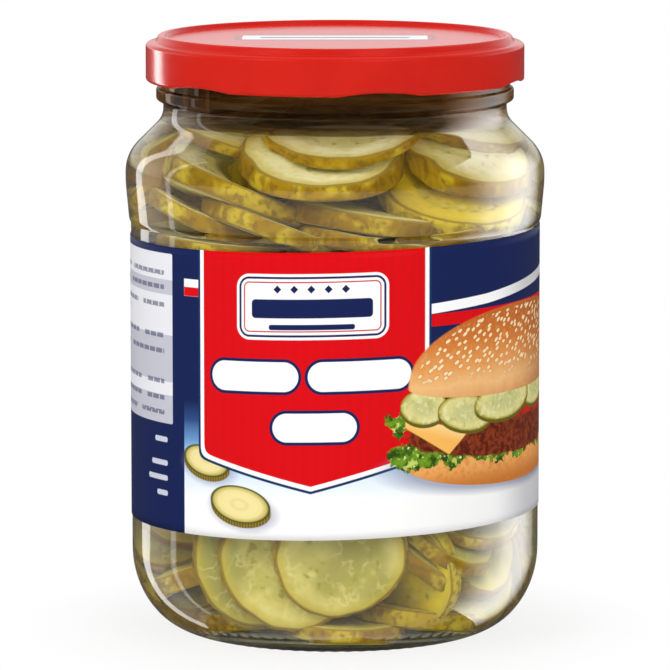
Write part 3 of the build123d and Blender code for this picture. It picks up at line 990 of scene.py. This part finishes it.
def slice_finish():
    """Pickle: pale wet flesh, glassier over the seeds, a thin darker ring, golden-green skin, and painted
    glow.
    """
    recipe = new_finish("pickle_slice")
    tone, skin = recipe.attribute("tone"), recipe.attribute("skin")
    across, along, _ = recipe.split(recipe.attribute("flesh", 1))
    reach = from_zero(across, along)
    (_, _, z), where = recipe.place()
    low = z.step(60, 40)
    cloud = recipe.grain(where, 60)
    blotch, fine, thread = (recipe.grain(where, scale, 3) for scale in (130, 600, 240))
    veins = abs(thread - 0.5).step(0.05, 0)
    seeds = recipe.wire("TexVoronoi", {"Vector": where, "Scale": 330}).step(0.5, 0.1)
    lobes = (along.math("ARCTAN2", across) * 3 + tone * 6).math("COSINE") * 0.1
    core = reach.step(0.66, 0.56) * reach.step(0.12, 0.24) * (reach + lobes).step(0.2, 0.5)
    meat = recipe.paint(
        ink(254, 252, 232),
        (low, ink(222, 216, 150)), (blotch.step(0.42, 0.75) * 0.45, ink(220, 212, 134)),
        (cloud.step(0.42, 0.64) * low * 0.75, ink(150, 150, 78)),
        (cloud.step(0.4, 0.3) * low * 0.4, ink(226, 226, 178)),
        (veins * blotch.step(0.4, 0.6) * 0.45, ink(236, 234, 184)),
        # Tone varies at random; near 1 it paints the bright yellow glow of light shining through the slice
        (tone.step(0.45, 1) * 0.4, ink(196, 180, 62)), (tone.step(0.94, 0.99) * 0.85, ink(238, 216, 26)),
        (core * 0.4, ink(180, 182, 92)), (core * seeds * 0.5, ink(240, 236, 184)),
        (core * fine.step(0.56, 0.66) * 0.6, ink(128, 130, 58)),
        (fine.step(0.45, 0.75) * 0.3, ink(180, 176, 90)), (reach.step(0.78, 0.93) * 0.65, ink(200, 184, 62)),
        (reach.step(0.925, 0.96) * 0.85, ink(134, 108, 28)))
    peel = recipe.paint(
        ink(164, 131, 18),
        # A tone near 1 paints the peel with the same glow of light shining through
        (tone, ink(134, 104, 14)), (tone.step(0.85, 0.95) * 0.8, ink(222, 204, 54)),
        (blotch.step(0.48, 0.62) * 0.65, ink(208, 190, 62)),
        (blotch.step(0.46, 0.34) * 0.6, ink(122, 96, 26)),
        (fine.step(0.47, 0.64) * 0.65, ink(118, 90, 26)))
    return recipe.finish(
        Base_Color=recipe.paint(meat, (skin.step(0.3, 0.8), peel)), Roughness=0.45,
        Specular_IOR_Level=0.12, Specular_Tint=(1, 0.88, 0.55, 1),
        Subsurface_Weight=0.35, Subsurface_Radius=(1, 0.9, 0.4), Subsurface_Scale=0.003,
        Normal=recipe.bump(blotch * 0.5 + fine * 0.4, 0.0008, 0.7))


# ---- studio

AMBIENT = 0.47  # how strongly the world lights matt surfaces


def make_floor():
    """A pale disc under the jar that fades to white away from it."""
    recipe = new_finish("pale_floor")
    (x, y, _), _ = recipe.place()
    out = from_zero(x, y)
    matte = recipe.wire("BsdfDiffuse", {"Color": ink(240, 240, 240)})
    white = recipe.wire("Emission")
    share = recipe.rays("Camera") * (out.step(46, 80) * 0.18 + 0.82)
    share = larger(share, recipe.rays("Transmission"))
    surface = recipe.wire("MixShader", {0: share, 1: matte, 2: white})
    recipe.node("OutputMaterial", {"Surface": surface})
    reach = np.array([0, 60, 120, 240, 600, 3000])
    grid = around(reach[:, None], 0, azimuths(64)[None, :])
    points = np.concatenate([grid[0, :1], grid[1:].reshape(-1, 3)])
    column = np.arange(64)
    faces = np.stack([0 * column, 1 + column, 1 + (column + 1) % 64], axis=1).tolist()
    faces += ring_faces(len(reach) - 1, 64, first=1)[:, ::-1].tolist()
    made = make_mesh("floor", points, faces, recipe.owner)
    made.visible_glossy = False


def make_world():
    """White behind the jar; in reflections bright above and behind, dim in front and below.

    Through the glass it is white up to just over the horizon and dim above that. As a source of light
    it is even.
    """
    recipe = Recipe(bpy.data.worlds.new("studio"))
    _, back, up = recipe.split(recipe.wire("TexCoord"))
    band = up.step(-0.03, 0.08) * (1 - up.step(0.2, 0.45) * 0.7)
    mirrored = back.step(-0.2, 0.5) * band * 0.88 + 0.1
    through = 1 - up.step(0, 0.06) * 0.9
    strength = 1 - recipe.rays("Glossy") * (1 - mirrored)
    strength = strength * (1 - recipe.rays("Transmission") * (1 - through))
    strength = strength * (1 - recipe.rays("Diffuse") * (1 - AMBIENT))
    surface = recipe.wire("Background", {"Color": (1, 1, 1, 1), "Strength": strength})
    recipe.node("OutputWorld", {"Surface": surface})
    bpy.context.scene.world = recipe.owner


def softbox(name, azimuth, elevation, distance, size, radiance, pieces=None, mirror=False, soft_from=0.3):
    """An area light aimed at the jar's middle, fading towards its sides.

    It lights matt surfaces, of all pieces or some. With mirror it shows only as a reflection.
    """
    light = bpy.data.lights.new(name, "AREA")
    light.shape, light.size, light.size_y = "RECTANGLE", *size
    light.energy = radiance * math.pi * size[0] * size[1]
    recipe = Recipe(light)
    across, _, _ = recipe.split(recipe.wire("NewGeometry", output=5))
    glow = recipe.wire("Emission", {"Strength": abs(across - 0.5).step(0.5, soft_from)})
    recipe.node("OutputLight", {"Surface": glow})
    made = place_in_scene(name, light)
    climb = math.radians(elevation)
    away = around(math.cos(climb), math.sin(climb), math.radians(azimuth))
    made.location = away * distance + [0, 0, 0.07]
    aim(made, (0, 0, 0.07))
    made.visible_camera = made.visible_transmission = False
    made.visible_glossy, made.visible_diffuse = mirror, not mirror
    if pieces:
        receivers = bpy.data.collections.new(name + "_receivers")
        for piece in pieces:
            receivers.objects.link(piece)
        made.light_linking.receiver_collection = receivers


def aim(thing, target):
    """Turns a camera or light so that it looks at a point."""
    way = Vector(target) - thing.location
    thing.rotation_euler = way.to_track_quat("-Z", "Y").to_euler()


def make_camera():
    """A long lens a little above the jar's middle, looking slightly down."""
    camera = bpy.data.cameras.new("camera")
    made = place_in_scene("camera", camera)
    camera.lens = 295
    target = np.array([0, 0, 0.0671])
    climb = math.radians(7.92)
    made.location = target + 1.25 * around(math.cos(climb), math.sin(climb), 0)
    aim(made, target.tolist())
    camera.clip_end = 20
    bpy.context.scene.camera = made


make_camera()
make_world()
make_floor()
bpy.context.scene.view_settings.view_transform = "Standard"

glass = make_glass(glass_finish())
lid = make_lid(lid_enamel())
slices = make_slices(slice_finish())
softbox("left_lamp", -50, 35, 1.2, (0.8, 0.8), 3.6)
softbox("right_lamp", 30, 35, 1.2, (0.8, 0.8), 3.1)
softbox("top_lamp", 180, 75, 1, (0.7, 0.7), 1.6)
softbox("front_slice_lamp", -10, 26, 1.1, (0.9, 0.6), 3.8, [slices])
softbox("back_slice_lamp", 170, 26, 1.1, (0.9, 0.6), 3.8, [slices])
softbox("lid_strip", -133, 0, 0.7, (0.16, 0.3), 7, [lid], mirror=True)
softbox("left_strip", -133, 0, 0.7, (0.13, 1.6), 3.2, [glass], mirror=True)
softbox("left_line", -101, 0, 0.7, (0.06, 1.5), 2.6, [glass], mirror=True)
softbox("left_veil", -117, 0, 0.7, (0.5, 1.6), 0.8, [glass], mirror=True, soft_from=0.1)
softbox("right_veil", 112, 0, 0.8, (1.3, 1.7), 6.4, [glass], mirror=True, soft_from=0)

pieces = [
    (glass, "jar_glass", ["glass_jar"]),
    (lid, "lid_enamel", ["lid"]),
    (make_label(label_paper()), "label_print", ["label"]),
    (make_brine(brine_finish()), "pickles_and_brine", ["pickles_in_brine"]),
    (slices, "pickles_and_brine", ["pickles_in_brine"]),
]
for piece, slot_name, nodes in pieces:
    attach(piece, "root")
    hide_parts(*nodes)
